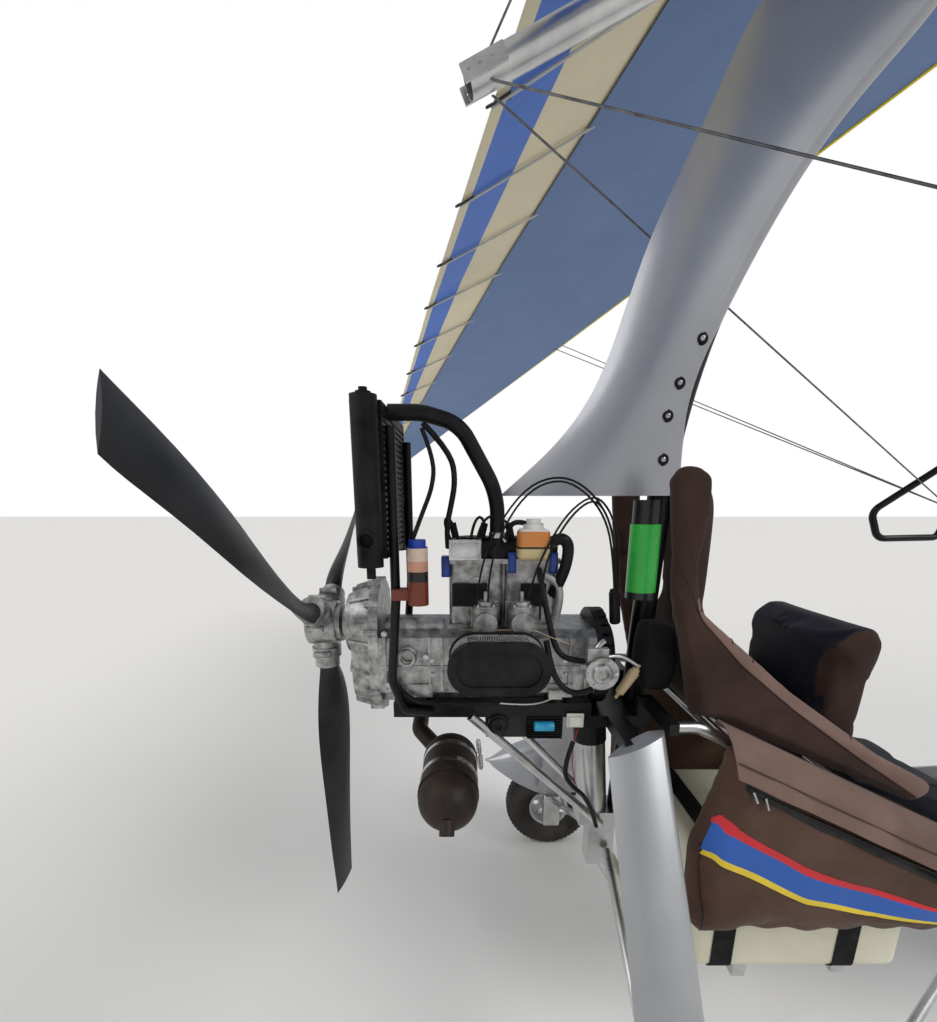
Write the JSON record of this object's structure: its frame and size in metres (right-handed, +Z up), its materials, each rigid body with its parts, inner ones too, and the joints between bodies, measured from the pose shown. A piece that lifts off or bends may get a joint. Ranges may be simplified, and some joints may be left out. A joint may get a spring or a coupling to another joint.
{
  "type": "microlight aircraft",
  "caption": "Two-seat weight-shift microlight: three-wheeled trike with pusher engine and propeller under a swept flexible wing that pitches and rolls on its hang point.",
  "frame": {"origin": "on the ground under the middle of the whole box", "axes": "+X to starboard along the span, +Y forward, +Z up"},
  "size_m": [9.9654, 3.5836, 3.8008],
  "materials": {
    "fairing_silver": "satin",
    "bare_alloy": "satin",
    "black_frame": "satin",
    "steel": "satin",
    "tyre": "matte",
    "rim_alloy": "satin",
    "sail_cloth": "matte",
    "pocket_cloth": "matte",
    "seat_cloth": "matte",
    "tank_plastic": "satin",
    "pod_shell": "gloss",
    "panel_black": "matte",
    "screen_clear": "gloss",
    "engine_alloy": "satin",
    "engine_black": "matte",
    "rubber_black": "matte",
    "exhaust_brown": "matte",
    "blade_carbon": "satin",
    "amber_plastic": "satin",
    "clear_plastic": "satin",
    "bottle_green": "gloss"
  },
  "bodies": {
    "trike": {"air_filter": "engine_black", "axle_left": "bare_alloy", "axle_right": "bare_alloy", "carburettors": "engine_alloy", "coolant_hose": "rubber_black", "crankcase": "engine_alloy", "cylinder_head": "engine_black", "cylinders": "engine_alloy", "electrics_box": "panel_black", "engine_mount": "black_frame", "front_seat_back": "seat_cloth", "front_seat_base": "seat_cloth", "fuel_pump": "engine_alloy", "fuel_tank": "tank_plastic", "gearbox": "engine_alloy", "instrument_panel": "panel_black", "keel_beam": "bare_alloy", "leg_left": "fairing_silver", "leg_right": "fairing_silver", "mast": "bare_alloy", "mast_fairing": "fairing_silver", "oil_tank": "amber_plastic", "overflow_bottle": "clear_plastic", "pannier_left": "seat_cloth", "pannier_right": "seat_cloth", "pod": "pod_shell", "radiator": "engine_black", "radiator_frame": "black_frame", "rear_seat_back": "seat_cloth", "rear_seat_base": "seat_cloth", "rear_seat_sides": "seat_cloth", "rear_struts": "bare_alloy", "seat_frame": "bare_alloy", "silencer": "exhaust_brown", "spray_bottle": "bottle_green", "starter_housing": "engine_black", "wheel_cover_left": "fairing_silver", "wheel_cover_right": "fairing_silver", "windscreen": "screen_clear"},
    "propeller": {"propeller_hub": "engine_alloy", "propeller_blades": "blade_carbon"},
    "wheel_left": {"tyre_left": "tyre", "rim_left": "rim_alloy"},
    "wheel_right": {"tyre_right": "tyre", "rim_right": "rim_alloy"},
    "nose_fork": {"nose_fork": "black_frame", "nose_mudguard": "panel_black"},
    "nose_wheel": {"nose_tyre": "tyre", "nose_rim": "rim_alloy"},
    "hang_block": {"hang_block": "bare_alloy"},
    "wing": {"wing_keel": "bare_alloy", "leading_edges": "bare_alloy", "control_frame": "bare_alloy", "base_bar": "black_frame", "kingpost": "bare_alloy", "sail_left": "sail_cloth", "sail_right": "sail_cloth", "keel_pocket": "pocket_cloth", "wing_stays": "steel"}
  },
  "joints": [
    {"name": "propeller_spin", "type": "hinge", "parent": "trike", "child": "propeller", "pos_m": [0, -1.16622, 1.332], "axis": [0, 1, 0], "continuous": true},
    {"name": "wheel_left_spin", "type": "hinge", "parent": "trike", "child": "wheel_left", "pos_m": [-0.875, -0.39522, 0.202], "axis": [1, 0, 0], "continuous": true},
    {"name": "wheel_right_spin", "type": "hinge", "parent": "trike", "child": "wheel_right", "pos_m": [0.875, -0.39522, 0.202], "axis": [1, 0, 0], "continuous": true},
    {"name": "steering", "type": "hinge", "parent": "trike", "child": "nose_fork", "pos_m": [0, 1.26678, 0.456], "axis": [0, -0.2588, 0.9659], "range_deg": [-20, 20]},
    {"name": "nose_wheel_spin", "type": "hinge", "parent": "nose_fork", "child": "nose_wheel", "pos_m": [0, 1.36678, 0.18], "axis": [1, 0, 0], "continuous": true},
    {"name": "wing_pitch", "type": "hinge", "parent": "trike", "child": "hang_block", "pos_m": [0, 0.28178, 2.893], "axis": [1, 0, 0], "range_deg": [-18, 0]},
    {"name": "wing_roll", "type": "hinge", "parent": "hang_block", "child": "wing", "pos_m": [0, 0.2495, 2.964], "axis": [0, 0.9103, 0.4139], "range_deg": [-12, 12]}
  ]
}
